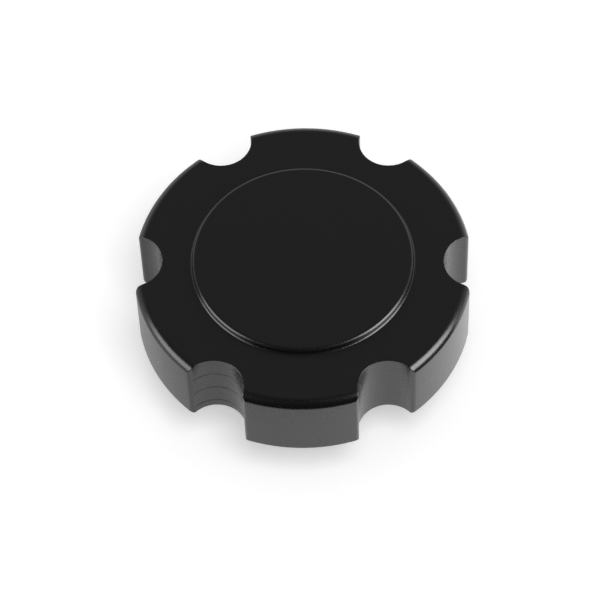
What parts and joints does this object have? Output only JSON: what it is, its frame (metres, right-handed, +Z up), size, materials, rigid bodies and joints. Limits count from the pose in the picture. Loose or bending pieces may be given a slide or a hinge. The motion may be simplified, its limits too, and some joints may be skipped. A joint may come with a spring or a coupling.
{
  "type": "oil filler cap",
  "caption": "Screw-in oil filler cap: black machined aluminium knob with finger scallops and a raised plain land, coarse threaded hollow spigot and rubber face-seal ring.",
  "frame": {"origin": "centre of the spigot's flat end face, on which the cap stands, on the axis of the cap", "axes": "+Z up along the axis, from the spigot's end to the top of the knob; +X through the middle of a finger scallop; +Y through the middle of a lobe"},
  "size_m": [0.07, 0.0714, 0.0338],
  "materials": {
    "black_anodised_aluminium": "satin black anodised over fine blasted and machined surfaces",
    "nitrile_rubber": "matte moulded rubber"
  },
  "bodies": {
    "root": {"cap_body": "black_anodised_aluminium", "seal_ring": "nitrile_rubber"}
  },
  "joints": []
}
